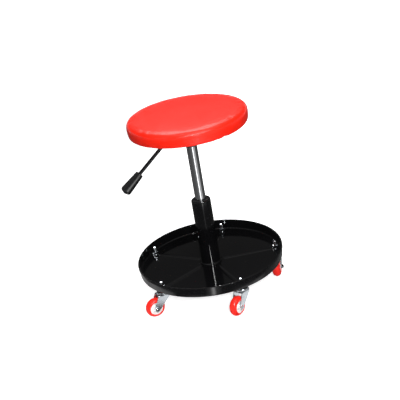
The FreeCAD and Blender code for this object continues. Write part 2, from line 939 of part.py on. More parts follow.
def lever_grip():
    """The moulded grip, which widens to a rounded, domed end."""
    neck = grip_neck_diameter / 2
    wide = grip_end_diameter / 2
    bore = lever_rod_diameter / 2
    grip = turned(
        [
            (bore, 0),
            (neck - grip_neck_chamfer, 0),
            (neck, grip_neck_chamfer),
            (wide, grip_length - grip_dome, grip_edge_radius),
            (0, grip_length),
            (0, grip_length - grip_wall_at_end),
            (bore, grip_length - grip_wall_at_end),
        ]
    )
    end, direction = lever_end()
    grip = rotated(grip, 90 + lever_slope, Vector(0, 1, 0))
    return along_lever(moved(grip, end - direction * grip_length))


def write_seat_plate():
    """The plate, the socket, the lever and their fasteners."""
    places = seat_bolt_places()
    write("seat_plate", seat_plate())
    write("taper_socket", taper_socket())
    write("seat_bolts", *[moved(seat_bolt(), place) for place in places])
    write("tee_nuts", *[moved(tee_nut(), place) for place in places])
    write("lever_bracket", lever_bracket())
    write("lever_pin", lever_pin())
    write("lever_rod", lever_rod())
    write("lever_grip", lever_grip())


# Cushion


def cushion_form(inset):
    """The cushion's outer form, or the form inside its cover: drawn in at the foot and crowned on top."""
    radius = seat_diameter / 2 - inset
    low = cushion_z + inset
    edge = cushion_z + cushion_height - inset
    widest = low + cushion_widest_share * (edge - low)
    return turned(
        [
            (0, low),
            (radius - cushion_draw_in, low, cushion_foot_radius - inset),
            (radius, widest, cushion_side_radius),
            (radius - cushion_draw_in / 2, edge, cushion_top_radius - inset),
            (cushion_crown_share * radius, edge + cushion_crown, cushion_crown_radius),
            (0, edge + cushion_crown),
        ]
    )


def board_form():
    """The board as a plain disc."""
    return ring(0, board_diameter / 2, board_z, board_z + board_thickness)


def seat_cover():
    """The cover: one skin over the foam, turned in under the board."""
    mouth = ring(0, cover_mouth_radius, cushion_z - overrun, board_z + overrun)
    return cushion_form(0).cut([cushion_form(cover_thickness), mouth])


def seat_board():
    """The plywood board, bored for the tee nuts."""
    top = board_z + board_thickness
    barrel = ring(0, tee_nut_barrel_diameter / 2, board_z - overrun, top + overrun)
    flange = ring(0, tee_nut_flange_diameter / 2, top - tee_nut_flange_thickness, top + overrun)
    tool = barrel.fuse(flange)
    return board_form().cut([moved(tool, place) for place in seat_bolt_places()]).removeSplitter()


def write_cushion():
    """The board, the foam on it and the cover."""
    write("seat_board", seat_board())
    write("seat_foam", cushion_form(cover_thickness).cut(board_form()))
    write("seat_cover", seat_cover())


write_castors()
write_base()
write_gas_rod()
write_gas_cylinder()
write_seat_plate()
write_cushion()
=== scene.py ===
# %% [markdown]
# # A rolling creeper seat
# This seat came out of its drawing as plain solids in metres: a red cushion on a gas lift, a black tool
# tray under it, and five small castors. The solids are the fixed frame of the picture, and nothing here
# moves or resizes them. The lesson adds what a drawing leaves out: finishes, the stuffed cover with its
# tucks and staples, threads and chamfers, and a studio to look at it in.

import bisect
import json
import math
import random

import bmesh
import bpy
from mathutils import Matrix, Vector


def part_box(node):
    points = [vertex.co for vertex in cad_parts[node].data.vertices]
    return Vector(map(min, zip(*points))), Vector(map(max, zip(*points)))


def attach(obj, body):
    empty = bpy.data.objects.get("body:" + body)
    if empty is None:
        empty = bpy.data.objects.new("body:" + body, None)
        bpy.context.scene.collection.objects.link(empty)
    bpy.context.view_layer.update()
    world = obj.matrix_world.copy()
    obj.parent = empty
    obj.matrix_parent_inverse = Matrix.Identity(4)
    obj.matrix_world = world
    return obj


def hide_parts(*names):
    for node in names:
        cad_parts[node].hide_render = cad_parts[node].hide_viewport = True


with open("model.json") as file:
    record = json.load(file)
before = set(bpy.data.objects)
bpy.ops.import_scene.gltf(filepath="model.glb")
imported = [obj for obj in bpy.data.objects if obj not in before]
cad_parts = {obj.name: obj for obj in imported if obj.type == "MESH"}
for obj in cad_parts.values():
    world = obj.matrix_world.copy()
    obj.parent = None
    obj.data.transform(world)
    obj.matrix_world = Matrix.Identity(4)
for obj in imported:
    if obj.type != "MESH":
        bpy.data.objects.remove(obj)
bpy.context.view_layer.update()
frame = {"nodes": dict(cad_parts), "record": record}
mm = 0.001

# %% [markdown]
# ## The camera
# The picture was taken from a little above the seat with a long lens, and the camera was leant to one
# side, so the column leans to the left. A camera could be aimed with a Track To constraint, but that
# keeps its top upright. Its three axes are worked out here instead, from how far it turns, dips and
# leans, and they become the columns of its matrix.

# %% Camera
camera_place = Vector((0, -2191.0, 1201.6)) * mm
camera_turn = math.radians(-0.055)
camera_dip = math.radians(23.595)
camera_lean = math.radians(-9.786)
camera_lens = 84.0


def camera_axes(turn, dip, lean):
    """Right, up and back of a camera that looks along +Y, turned, dipped and leant by these angles."""
    ahead = Vector((math.sin(turn) * math.cos(dip), math.cos(turn) * math.cos(dip), -math.sin(dip)))
    level = ahead.cross(Vector((0, 0, 1))).normalized()
    plumb = level.cross(ahead)
    right = math.cos(lean) * level + math.sin(lean) * plumb
    up = math.cos(lean) * plumb - math.sin(lean) * level
    return right, up, -ahead


camera_data = bpy.data.cameras.new("portrait_camera")
camera_data.lens = camera_lens
camera = bpy.data.objects.new("portrait_camera", camera_data)
axes = Matrix(camera_axes(camera_turn, camera_dip, camera_lean)).transposed()
camera.matrix_world = Matrix.Translation(camera_place) @ axes.to_4x4()
bpy.context.scene.collection.objects.link(camera)
bpy.context.scene.camera = camera
bpy.context.scene.view_settings.view_transform = "Standard"
print("camera:", round(camera_place.length, 3), "m from the origin")

# %% [markdown]
# ## Shaders in small steps
# Every finish here is one Principled shader with a few textures on it. Wiring each by hand would hide
# what matters, so helpers do it: one makes the shader with its plain numbers set on its own sockets, two
# add a texture on Object coordinates, and others spread a texture's value over a range, send it to a socket
# and turn it into colours or bumps. Where a texture drives a socket, the plain number stays as the average
# that it varies about. Object coordinates suit these pieces, because every mesh keeps its place in the
# seat's own frame.

# %% Helpers for finishes
def finish(name, colour, roughness, metallic=0.0, **settings):
    """A material with one Principled shader, its numbers set on the shader's own sockets."""
    material = bpy.data.materials.new(name)
    material.use_nodes = True
    shader = material.node_tree.nodes["Principled BSDF"]
    shader.inputs["Base Color"].default_value = (*colour, 1)
    shader.inputs["Roughness"].default_value = roughness
    shader.inputs["Metallic"].default_value = metallic
    for socket, value in settings.items():
        shader.inputs[socket.replace("_", " ")].default_value = value
    return material


def add_node(material, kind, **inputs):
    """A new node of this kind, with its input sockets set or linked by name."""
    tree = material.node_tree
    node = tree.nodes.new(kind)
    for socket, value in inputs.items():
        wire(material, value, node.inputs[socket.replace("_", " ")])
    return node


def wire(material, value, socket):
    """Links an output to this socket, or sets the socket where the value is plain."""
    if isinstance(value, bpy.types.NodeSocket):
        material.node_tree.links.new(value, socket)
    else:
        socket.default_value = value


def noise(material, size, stretch=(1, 1, 1), detail=2.0):
    """A noise whose blotches measure about this many metres, longer along an axis by its stretch."""
    place = add_node(material, "ShaderNodeTexCoord").outputs["Object"]
    mapping = add_node(material, "ShaderNodeMapping", Vector=place)
    mapping.inputs["Scale"].default_value = [1 / (size * along) for along in stretch]
    return add_node(material, "ShaderNodeTexNoise", Vector=mapping.outputs[0], Scale=1.0, Detail=detail)


def cells(material, size):
    """A pattern of round cells about this many metres across."""
    place = add_node(material, "ShaderNodeTexCoord").outputs["Object"]
    return add_node(material, "ShaderNodeTexVoronoi", Vector=place, Scale=1 / size)


def ranged(material, value, low, high, from_low=0.3, from_high=0.7):
    """The value's usual range, spread from low to high."""
    node = add_node(material, "ShaderNodeMapRange", Value=value, From_Min=from_low, From_Max=from_high)
    node.inputs["To Min"].default_value = low
    node.inputs["To Max"].default_value = high
    return node.outputs[0]


def drive(material, socket, value):
    """Links a texture's value to a socket of the material's shader."""
    wire(material, value, material.node_tree.nodes["Principled BSDF"].inputs[socket])


def tint(material, value, low, high):
    """Colours the material between two colours, as the value goes from 0 to 1."""
    mix = add_node(material, "ShaderNodeMix")
    mix.data_type = "RGBA"
    wire(material, value, mix.inputs["Factor"])
    ends = [socket for socket in mix.inputs if socket.type == "RGBA"]
    ends[0].default_value = (*low, 1)
    ends[1].default_value = (*high, 1)
    drive(material, "Base Color", next(socket for socket in mix.outputs if socket.type == "RGBA"))


def bump(material, *layers):
    """Bumps from (value, height in metres) layers, one on top of the other."""
    normal = None
    for value, height in layers:
        node = add_node(material, "ShaderNodeBump", Height=value, Distance=height, Strength=1.0)
        if normal:
            wire(material, normal, node.inputs["Normal"])
        normal = node.outputs[0]
    drive(material, "Normal", normal)


# %% [markdown]
# ## The studio
# The seat stands on white paper. The paper could be lit until it burns out to white, but that light would
# wash out the red and grey the black paint. So the lamps stay at a plain level, and the paper gives the
# camera and the mirrors some light of its own, a little less near the column, which leaves a soft shadow
# under the tray.

# %% Paper floor
paper_size = 40.0
paper_white = 0.8
dim_radius, full_radius = 0.22, 0.8
dim_light, full_light = 0.84, 1.05


def new_mesh(name, bm):
    """A mesh from a bmesh, which is freed."""
    mesh = bpy.data.meshes.new(name)
    bm.to_mesh(mesh)
    bm.free()
    return mesh


def new_object(name, bm, material):
    """An object from a bmesh, with its finish."""
    mesh = new_mesh(name, bm)
    mesh.materials.append(material)
    thing = bpy.data.objects.new(name, mesh)
    bpy.context.scene.collection.objects.link(thing)
    return thing


def stage_piece(name, bm, material):
    """A piece of the studio from a bmesh."""
    piece = new_object(name, bm, material)
    return piece


def seen_by(material, *rays):
    """A value of 1 for these kinds of ray and 0 for others."""
    path = add_node(material, "ShaderNodeLightPath")
    value = path.outputs[rays[0]]
    for ray in rays[1:]:
        larger = add_node(material, "ShaderNodeMath")
        larger.operation = "MAXIMUM"
        wire(material, value, larger.inputs[0])
        wire(material, path.outputs[ray], larger.inputs[1])
        value = larger.outputs[0]
    return value


paper = finish("white_paper", (paper_white,) * 3, 1.0, Specular_IOR_Level=0.0, Emission_Color=(1, 1, 1, 1))
own_light = add_node(paper, "ShaderNodeMath")
own_light.operation = "MULTIPLY"
wire(paper, seen_by(paper, "Is Camera Ray", "Is Glossy Ray", "Is Transmission Ray"), own_light.inputs[0])
from_column = add_node(paper, "ShaderNodeVectorMath")
from_column.operation = "LENGTH"
wire(paper, add_node(paper, "ShaderNodeTexCoord").outputs["Object"], from_column.inputs[0])
spread = ranged(paper, from_column.outputs["Value"], dim_light, full_light, dim_radius, full_radius)
wire(paper, spread, own_light.inputs[1])
drive(paper, "Emission Strength", own_light.outputs[0])
bm = bmesh.new()
bmesh.ops.create_grid(bm, x_segments=1, y_segments=1, size=paper_size / 2)
stage_piece("paper_floor", bm, paper)
print("floor:", paper_size, "m of paper")

# %% [markdown]
# ## Glowing rings that paint the reflections
# Chrome has no colour of its own and shows whatever lies around it. On white paper alone it would be
# white. Where a photographer would lay dark cloth about it and leave gaps for its streaks, this scene has
# four flat rings on the floor that glow, one for each height that mirrors them: the castors, the tray's
# wall, the column and the cylinder. A radial gradient and a ramp set each ring's glow by angle. Mostly it
# is a dim grey, which paints dark bands into the reflections. The wall's and the cylinder's rings also have
# narrow strips that glow brighter than the paper, which paint bright streaks. They are seen in reflections
# only, so the paper stays white. The outermost also keeps the paper's light off the cushion's foot, which
# would be too bright without it.

# %% Glowing rings that paint the reflections
ring_height = 0.5 * mm
ring_steps = 90


def glowing_ring(name, inner, outer, greys, shades=False):
    """A flat ring that glows in reflections only, its glow changing with the angle, from the camera's side
    (0) round to the right.
    """
    face = finish(name, (0, 0, 0), 1.0, Specular_IOR_Level=0.0, Emission_Strength=1.0)
    place = add_node(face, "ShaderNodeTexCoord").outputs["Object"]
    turned = add_node(face, "ShaderNodeMapping", Vector=place)
    turned.inputs["Rotation"].default_value.z = math.radians(90)
    around = add_node(face, "ShaderNodeTexGradient", Vector=turned.outputs[0])
    around.gradient_type = "RADIAL"
    ramp = add_node(face, "ShaderNodeValToRGB", Fac=around.outputs["Fac"])
    stops = ramp.color_ramp.elements
    while len(stops) < len(greys):
        stops.new(0.5)
    for stop, (angle, grey) in zip(stops, sorted(greys.items())):
        stop.position = 0.5 + angle / 360
        stop.color = (grey, grey, grey, 1)
    drive(face, "Emission Color", ramp.outputs[0])
    bm = bmesh.new()
    bmesh.ops.create_circle(bm, segments=ring_steps, radius=inner)
    rim = bmesh.ops.extrude_edge_only(bm, edges=bm.edges[:])
    corners = [item for item in rim["geom"] if isinstance(item, bmesh.types.BMVert)]
    bmesh.ops.scale(bm, vec=Vector((outer / inner,) * 3), verts=corners)
    bmesh.ops.translate(bm, vec=(0, 0, ring_height), verts=bm.verts)
    piece = stage_piece(name, bm, face)
    piece.visible_camera = piece.visible_shadow = False
    piece.visible_transmission = piece.visible_volume_scatter = False
    piece.visible_diffuse = shades


# Each ring's glow by angle paints the reflections: low stops paint dark bands, and the stops above 1 glow
# brighter than the paper and paint bright streaks.
castor_greys = {
    -90: 0.5, -78: 1, -52: 1, -45: 0.1, -34: 0.1, -26: 1, -6: 1, 2: 0.1, 14: 0.1, 24: 1, 50: 1, 62: 0.2,
}
wall_greys = {-60: 0.12, -30: 0.07, -12: 0.08, -6: 0.6, -3: 4.5, 0: 0.6, 7: 0.08, 50: 0.07}
column_greys = {0: 0.08, 4: 0.45, 9: 0.45, 14: 0.08, 158: 0.08, 166: 0.5, 176: 0.5}
cylinder_greys = {
    -180: 0.8, -170: 0.07, -60: 0.08, -30: 0.11, -8: 0.18, 3: 0.35, 7: 3.2, 13: 3.2, 17: 0.5, 50: 0.5,
    60: 0.1, 110: 0.05, 156: 0.1, 164: 1.0, 180: 0.8,
}
glowing_ring("castor_glow_ring", inner=0.001, outer=0.3, greys=castor_greys)
glowing_ring("wall_glow_ring", inner=0.3, outer=0.38, greys=wall_greys)
glowing_ring("column_glow_ring", inner=0.38, outer=0.56, greys=column_greys)
glowing_ring("cylinder_glow_ring", inner=0.56, outer=6.0, greys=cylinder_greys, shades=True)
print("cloth: four rings")

# %% [markdown]
# ## The light
# A wide softbox overhead gives the red its body, and one behind the seat makes the pale band along the
# cushion's front edge. It would also light up the tray's ribs, so it is linked to the cushion alone, and a
# lower one beside it to the stems and nuts, whose tips it turns white. A bright one beside the camera draws
# the streak down the black column, a small one puts sparks on the castors, and two weak ones fill from the
# sides. The room behind them is dim, because the tray's floor mirrors it, and low down it is as white as
# the paper.

# %% Room
backdrop_top = 0.06
room_greys = {0.0: 1.0, backdrop_top: 1.0, 0.12: 0.09, 0.38: 0.09, 0.47: 0.05, 0.7: 0.15, 1.0: 0.8}
world = bpy.data.worlds.new("studio_room")
bpy.context.scene.world = world
world.use_nodes = True
room = world.node_tree.nodes["Background"]
direction = world.node_tree.nodes.new("ShaderNodeTexCoord")
height = world.node_tree.nodes.new("ShaderNodeSeparateXYZ")
ramp = world.node_tree.nodes.new("ShaderNodeValToRGB")
stops = ramp.color_ramp.elements
for place in list(room_greys)[1:-1]:
    stops.new(place)
for stop, (place, grey) in zip(stops, room_greys.items()):
    stop.position = place
    stop.color = (grey, grey, grey, 1)
backdrop = world.node_tree.nodes.new("ShaderNodeBackground")
camera_ray = world.node_tree.nodes.new("ShaderNodeLightPath")
shown = world.node_tree.nodes.new("ShaderNodeMixShader")
backdrop.inputs["Color"].default_value = (1, 1, 1, 1)
for source, socket in [
    (direction.outputs["Generated"], height.inputs[0]),
    (height.outputs["Z"], ramp.inputs[0]),
    (ramp.outputs[0], room.inputs["Color"]),
    (camera_ray.outputs["Is Camera Ray"], shown.inputs[0]),
    (room.outputs[0], shown.inputs[1]),
    (backdrop.outputs[0], shown.inputs[2]),
    (shown.outputs[0], world.node_tree.nodes["World Output"].inputs["Surface"]),
]:
    world.node_tree.links.new(source, socket)
print("room:", len(stops), "greys from the floor up")

# %% Lamps
lamp_aim = Vector((0, 0, 0.3))


def softbox(name, azimuth, elevation, distance, size, watts, mirrored=False):
    """An area lamp this many degrees to the camera's right and above the floor, aimed at the seat.

    Reflections leave it out unless it is mirrored.
    """
    turn, rise = math.radians(azimuth), math.radians(elevation)
    away = Vector((math.sin(turn) * math.cos(rise), -math.cos(turn) * math.cos(rise), math.sin(rise)))
    data = bpy.data.lights.new(name, "AREA")
    data.shape = "RECTANGLE"
    data.size, data.size_y = size
    data.energy = watts
    lamp = bpy.data.objects.new(name, data)
    facing = away.to_track_quat("Z", "Y").to_matrix().to_4x4()
    lamp.matrix_world = Matrix.Translation(lamp_aim + distance * away) @ facing
    lamp.visible_glossy = mirrored
    bpy.context.scene.collection.objects.link(lamp)
    return lamp


def light_only(lamp, *pieces):
    """Links a lamp to these pieces, so that it lights nothing else."""
    lit = bpy.data.collections.new("lit_by_" + lamp.name)
    for piece in pieces:
        lit.objects.link(piece)
    lamp.light_linking.receiver_collection = lit


softbox("top_softbox", azimuth=12, elevation=74, distance=1.7, size=(1.1, 1.1), watts=17.0)
cushion_softbox = softbox(
    "cushion_softbox", azimuth=180, elevation=48, distance=2.0, size=(0.9, 0.6), watts=8.0, mirrored=True
)
spark_softbox = softbox(
    "spark_softbox", azimuth=180, elevation=24, distance=2.0, size=(0.6, 0.5), watts=8.0, mirrored=True
)
softbox("key_softbox", azimuth=5.5, elevation=24, distance=2.0, size=(0.1, 0.3), watts=22.0, mirrored=True)
softbox(
    "small_softbox", azimuth=27, elevation=42, distance=2.0, size=(0.16, 0.16), watts=9.0, mirrored=True
)
softbox("left_fill", azimuth=-50, elevation=26, distance=2.4, size=(0.9, 0.9), watts=7.0)
softbox("right_fill", azimuth=60, elevation=14, distance=2.4, size=(0.9, 0.9), watts=2.0)
print("lamps: top, cushion, spark, key, small and two fills")

# %% [markdown]
# ## Painted steel
# The tray and the column are one colour of stoving enamel. Sprayed enamel is never flat: it dries with a
# faint orange peel, which only shows as a ripple in what it mirrors. A picture of orange peel could be
# wrapped round the tray, but a noise in the seat's own coordinates needs no unwrapping and has no seam.

# %% Enamel and satin paint
def gloss_enamel():
    """Black stoving enamel, deep and glossy, with orange peel and a few dusty patches."""
    paint = finish("tray_enamel", (0.0035, 0.0035, 0.004), 0.08)
    dust = noise(paint, 90 * mm, detail=4.0).outputs["Fac"]
    drive(paint, "Roughness", ranged(paint, dust, 0.05, 0.11))
    peel = noise(paint, 2.6 * mm).outputs["Fac"]
    bump(paint, (peel, 0.008 * mm))
    return paint


def rod_gloss():
    """The plates' black in a thicker, wetter coat over the lever's rod."""
    paint = finish("rod_paint", (0.003, 0.003, 0.0035), 0.17, Specular_IOR_Level=0.35)
    runs = noise(paint, 14 * mm, detail=3.0).outputs["Fac"]
    drive(paint, "Roughness", ranged(paint, runs, 0.12, 0.22))
    bump(paint, (runs, 0.03 * mm))
    return paint


def satin_paint():
    """The thinner, duller coat on the pieces under the seat."""
    paint = finish("bracket_paint", (0.014, 0.014, 0.015), 0.39)
    patches = noise(paint, 30 * mm, detail=5.0).outputs["Fac"]
    drive(paint, "Roughness", ranged(paint, patches, 0.3, 0.48))
    tint(paint, patches, (0.008, 0.008, 0.009), (0.02, 0.02, 0.021))
    grit = noise(paint, 1.1 * mm, detail=3.0).outputs["Fac"]
    bump(paint, (grit, 0.02 * mm))
    return paint


# %% [markdown]
# ## Bare and plated metal
# The cylinder is ground and then chromed, so its mirror keeps faint lines along it. The castors are
# barrel-plated with zinc, which comes out bluish and a little cloudy, with marks from the barrel, and the
# fasteners have it brighter. Metallic is 1 for all of them, and the differences are in roughness and in how
# their noise is stretched.

# %% Chrome, steel and zinc
def chrome():
    """Hard chrome over a ground tube, with faint lines along it."""
    metal = finish("ground_chrome", (0.78, 0.79, 0.81), 0.08, metallic=1.0)
    lines = noise(metal, 1.2 * mm, stretch=(1, 1, 60), detail=3.0).outputs["Fac"]
    smear = noise(metal, 25 * mm, stretch=(1, 1, 3), detail=4.0).outputs["Fac"]
    drive(metal, "Roughness", ranged(metal, smear, 0.04, 0.12))
    bump(metal, (lines, 0.006 * mm))
    return metal


def turned_steel():
    """Oiled steel with the fine rings that a lathe leaves."""
    metal = finish("turned_steel", (0.56, 0.56, 0.57), 0.25, metallic=1.0)
    rings = noise(metal, 0.5 * mm, stretch=(40, 40, 1), detail=2.0).outputs["Fac"]
    drive(metal, "Roughness", ranged(metal, rings, 0.18, 0.32))
    bump(metal, (rings, 0.008 * mm))
    return metal


def zinc(name, smooth, rough):
    """Barrel-plated zinc: bluish and a little cloudy, with handling marks."""
    metal = finish(name, (0.62, 0.66, 0.69), (smooth + rough) / 2, metallic=1.0)
    marks = noise(metal, 4 * mm, detail=6.0).outputs["Fac"]
    clouds = noise(metal, 11 * mm, detail=5.0).outputs["Fac"]
    tint(metal, clouds, (0.44, 0.48, 0.52), (0.8, 0.83, 0.86))
    drive(metal, "Roughness", ranged(metal, marks, smooth, rough))
    dimples = noise(metal, 0.8 * mm, detail=2.0).outputs["Fac"]
    bump(metal, (dimples, 0.01 * mm), (clouds, 0.05 * mm))
    return metal


def valve_brass():
    """Dull brass inside the valve."""
    metal = finish("valve_brass", (0.56, 0.41, 0.2), 0.32, metallic=1.0)
    tarnish = noise(metal, 4 * mm, detail=4.0).outputs["Fac"]
    tint(metal, tarnish, (0.42, 0.29, 0.13), (0.7, 0.53, 0.27))
    return metal


# %% [markdown]
# ## Plastics and rubber
# Moulded pieces take the surface of their mould. The grip's is spark-eroded, which leaves an even, fine
# grain, and the wheel centres' is polished but sinks a little where the plastic is thick. The tyres are
# cast polyurethane, a strong red that the skin doesn't pale.

# %% Moulded pieces
def moulded(name, colour, roughness, grain, depth, **settings):
    """A moulded plastic with a grain this size and this deep."""
    plastic = finish(name, colour, roughness, **settings)
    cloud = noise(plastic, 18 * mm, detail=3.0).outputs["Fac"]
    drive(plastic, "Roughness", ranged(plastic, cloud, 0.85 * roughness, 1.2 * roughness))
    tint(plastic, cloud, [0.9 * part for part in colour], [min(1.1 * part, 1) for part in colour])
    spark = noise(plastic, grain, detail=4.0).outputs["Fac"]
    bump(plastic, (spark, depth))
    return plastic


# %% [markdown]
# ## Vinyl, foam and board
# The cover is red vinyl on a knitted back. Its grain is pressed in by a roller: rounded pebbles about a
# millimetre across with creases between them. A Voronoi texture gives exactly that, with its distance to
# the nearest cell's edge as the height. The same texture, with its distance to the cell's middle, makes the
# foam's pores, and paints shade into them as a darker colour in the pits. Under the seat the bare plywood
# shows.

# %% Vinyl, foam and plywood
vinyl_red = (0.88, 0.015, 0.004)


def vinyl():
    """Red vinyl with a pressed pebble grain."""
    skin = finish("red_vinyl", vinyl_red, 0.32, Specular_IOR_Level=0.4)
    pebbles = cells(skin, 1.3 * mm)
    pebbles.feature = "DISTANCE_TO_EDGE"
    creases = ranged(skin, pebbles.outputs["Distance"], 0.0, 1.0, 0.0, 0.12)
    swell = noise(skin, 45 * mm, detail=3.0).outputs["Fac"]
    pores = noise(skin, 0.5 * mm, detail=3.0).outputs["Fac"]
    tint(skin, swell, [0.96 * part for part in vinyl_red], [1.04 * part for part in vinyl_red])
    drive(skin, "Roughness", ranged(skin, swell, 0.29, 0.35))
    bump(skin, (creases, 0.02 * mm), (pores, 0.01 * mm))
    return skin


def foam():
    """Cut polyurethane foam, with painted shade darkening its pores."""
    pad = finish("cut_foam", (0.71, 0.64, 0.4), 0.9)
    pores = cells(pad, 0.9 * mm).outputs["Distance"]
    # Painted shade: the foam is darker in the pits that the bump sinks.
    tint(pad, pores, (0.6, 0.52, 0.3), (0.82, 0.75, 0.5))
    bump(pad, (pores, 0.3 * mm))
    return pad


def plywood():
    """Plywood with its grain along X."""
    wood = finish("poplar_plywood", (0.57, 0.39, 0.22), 0.61)
    grain = noise(wood, 2.2 * mm, stretch=(22, 1, 1), detail=5.0).outputs["Fac"]
    tint(wood, grain, (0.42, 0.26, 0.13), (0.72, 0.52, 0.31))
    drive(wood, "Roughness", ranged(wood, grain, 0.5, 0.72))
    bump(wood, (grain, 0.08 * mm))
    return wood


# %% [markdown]
# ## One finish for each slot
# The drawing's record names a slot for every node. Giving each slot its finish in one table keeps the
# pieces that are painted together the same, and a node added to the drawing later is finished too.

# %% Finish the frame
finishes = {
    "tray_paint": gloss_enamel(),
    "plate_paint": satin_paint(),
    "lift_chrome": chrome(),
    "bright_steel": turned_steel(),
    "zinc_plate": zinc("zinc_plating", 0.16, 0.34),
    "valve_metal": valve_brass(),
    "black_rubber": moulded("buffer_rubber", (0.014, 0.014, 0.014), 0.7, 0.8 * mm, 0.03 * mm),
    "bush_plastic": moulded("bush_acetal", (0.016, 0.016, 0.017), 0.35, 0.6 * mm, 0.01 * mm),
    "slip_plastic": moulded("washer_nylon", (0.75, 0.73, 0.66), 0.4, 0.6 * mm, 0.01 * mm),
    "core_plastic": moulded("wheel_nylon", (0.93, 0.93, 0.92), 0.3, 2.0 * mm, 0.01 * mm),
    "grip_plastic": moulded(
        "grip_plastic", (0.006, 0.006, 0.0065), 0.17, 0.8 * mm, 0.003 * mm, Specular_IOR_Level=0.8
    ),
    "tread_rubber": moulded(
        "tyre_polyurethane", (0.9, 0.018, 0.01), 0.3, 1.5 * mm, 0.01 * mm, Specular_IOR_Level=0.35
    ),
    "seat_vinyl": vinyl(),
    "seat_foam": foam(),
    "board_ply": plywood(),
}
bright_zinc = zinc("bright_zinc_plating", 0.05, 0.12)
for subpart in frame["record"]["subparts"]:
    node = frame["nodes"][subpart["node"]]
    for slot in node.material_slots:
        slot.material = finishes[subpart["material_slot"]]
frame["nodes"]["lever_rod"].material_slots[0].material = rod_gloss()
print("finishes:", len(finishes) + 2)

# %% [markdown]
# ## Spun skins
# The cushion, the stems and the bolts are round. Each starts as an outline: a chain of edges from the axis
# out and back again, with a bevel on the corners that aren't sharp. A spin carries the outline once round Z
# and welds the last step to the first, so no face has to be drawn by hand.

# %% Spinning helpers
weld_distance = 0.001 * mm


def outline(bm, corners, arc_step=30):
    """A chain of edges in the XZ plane through (r, z, radius) corners, rounded where radius isn't 0."""
    spots = [Vector((r, 0, z)) for r, z, _ in corners]
    verts = [bm.verts.new(spot) for spot in spots]
    for pair in zip(verts, verts[1:]):
        bm.edges.new(pair)
    for index, (_, _, radius) in enumerate(corners):
        if radius:
            before = spots[index] - spots[index - 1]
            turn = before.angle(spots[index + 1] - spots[index])
            bmesh.ops.bevel(
                bm,
                geom=[verts[index]],
                offset=radius * math.tan(turn / 2),
                offset_type="OFFSET",
                segments=max(1, round(math.degrees(turn) / arc_step)),
                profile=0.5,
                affect="VERTICES",
                material=-1,
            )


def full_turn(bm, geometry, steps):
    """Spins edges and their corners once round Z and joins the last step to the first."""
    bmesh.ops.spin(
        bm, geom=geometry, cent=(0, 0, 0), axis=(0, 0, 1), angle=math.tau, steps=steps, use_merge=True
    )


def spun(bm, steps):
    """Spins every edge round Z into one closed skin that faces outwards."""
    full_turn(bm, bm.verts[:] + bm.edges[:], steps)
    bmesh.ops.remove_doubles(bm, verts=bm.verts, dist=weld_distance)
    bmesh.ops.recalc_face_normals(bm, faces=bm.faces)


def make_piece(name, bm, material, body, smooth=True):
    """A piece of the seat from a bmesh, riding on a body."""
    piece = new_object(name, bm, material)
    for face in piece.data.polygons:
        face.use_smooth = smooth
    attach(piece, body)
    return piece


# %% [markdown]
# ## The cushion
# The real cushion is a disc of foam on a round board, with vinyl pulled over it and stapled under the
# board. Pressed in a mould it would be a perfect coin, but stuffing pushes the vinyl out and staples pull
# it back, and that is what the eye looks for. So a plain outline is spun round first, with a recess for
# the board. Then Blender's Cloth blows it up a little, and at last its lower edge is pulled in.

# %% Cushion outline
cover_low, cover_high = (Vector(corner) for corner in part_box("seat_cover"))
board_low, board_high = (Vector(corner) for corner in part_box("seat_board"))
seat_radius = (cover_high.x - cover_low.x) / 2
board_radius = (board_high.x - board_low.x) / 2
cushion_steps = 240
cushion_step = 4.0 * mm
cushion_arc_step = 12
recess_margin = 1.0 * mm
crown_z = cover_high.z + 1.5 * mm
foot_sag = 1.2 * mm
recess_corners = [
    (0, board_high.z, 0),
    (board_radius, board_high.z, 0),
    (board_radius, cover_low.z, 0),
]
side_corners = [
    (seat_radius - 2.0 * mm, cover_low.z - foot_sag, 5.0 * mm),
    (seat_radius + 0.4 * mm, cover_low.z + 15.0 * mm, 60.0 * mm),
    (seat_radius - 0.1 * mm, cover_high.z - 1.3 * mm, 9.5 * mm),
]
crown_corners = [
    (0.78 * seat_radius, crown_z - 0.8 * mm, 400.0 * mm),
    (0.4 * seat_radius, crown_z, 1500.0 * mm),
    (0, crown_z, 0),
]

bm = bmesh.new()
outline(bm, recess_corners + side_corners + crown_corners, cushion_arc_step)
for edge in bm.edges[:]:
    middle = sum((corner.co for corner in edge.verts), Vector()) / 2
    cuts = round(edge.calc_length() / cushion_step) - 1
    if cuts > 0 and (middle.x > board_radius or middle.z > board_high.z + recess_margin):
        bmesh.ops.subdivide_edges(bm, edges=[edge], cuts=cuts)
spun(bm, cushion_steps)
print("cushion:", len(bm.verts), "corners before it is stuffed")

# %% [markdown]
# ## Put the corners in order
# A spin leaves corners and faces in an order that can change from run to run. It can't be seen, but Cloth
# adds up its forces in that order, and the rounding gives each run slightly different folds. So the skin is
# made again with its corners and faces sorted by place, and every run gives the same cushion.

# %% Sort the corners
place_grid = 0.0001 * mm


def grid_place(spot):
    """A spot in whole steps of a fine grid, so that rounding can't change the order."""
    return tuple(round(part / place_grid) for part in spot)


def in_order(bm):
    """The same skin with its corners and faces sorted by place."""
    corners = sorted(bm.verts, key=lambda corner: grid_place(corner.co))
    numbers = {corner: number for number, corner in enumerate(corners)}
    ordered = bmesh.new()
    copies = [ordered.verts.new(Vector(grid_place(corner.co)) * place_grid) for corner in corners]
    for face in sorted(bm.faces, key=lambda face: grid_place(face.calc_center_median())):
        ring = [numbers[corner] for corner in face.verts]
        start = ring.index(min(ring))
        ordered.faces.new([copies[number] for number in ring[start:] + ring[:start]])
    bm.free()
    return ordered


bm = in_order(bm)
print("cushion:", len(bm.faces), "faces in order")
cushion = make_piece("stuffed_cushion", bm, finishes["seat_vinyl"], "seat")
light_only(cushion_softbox, cushion)

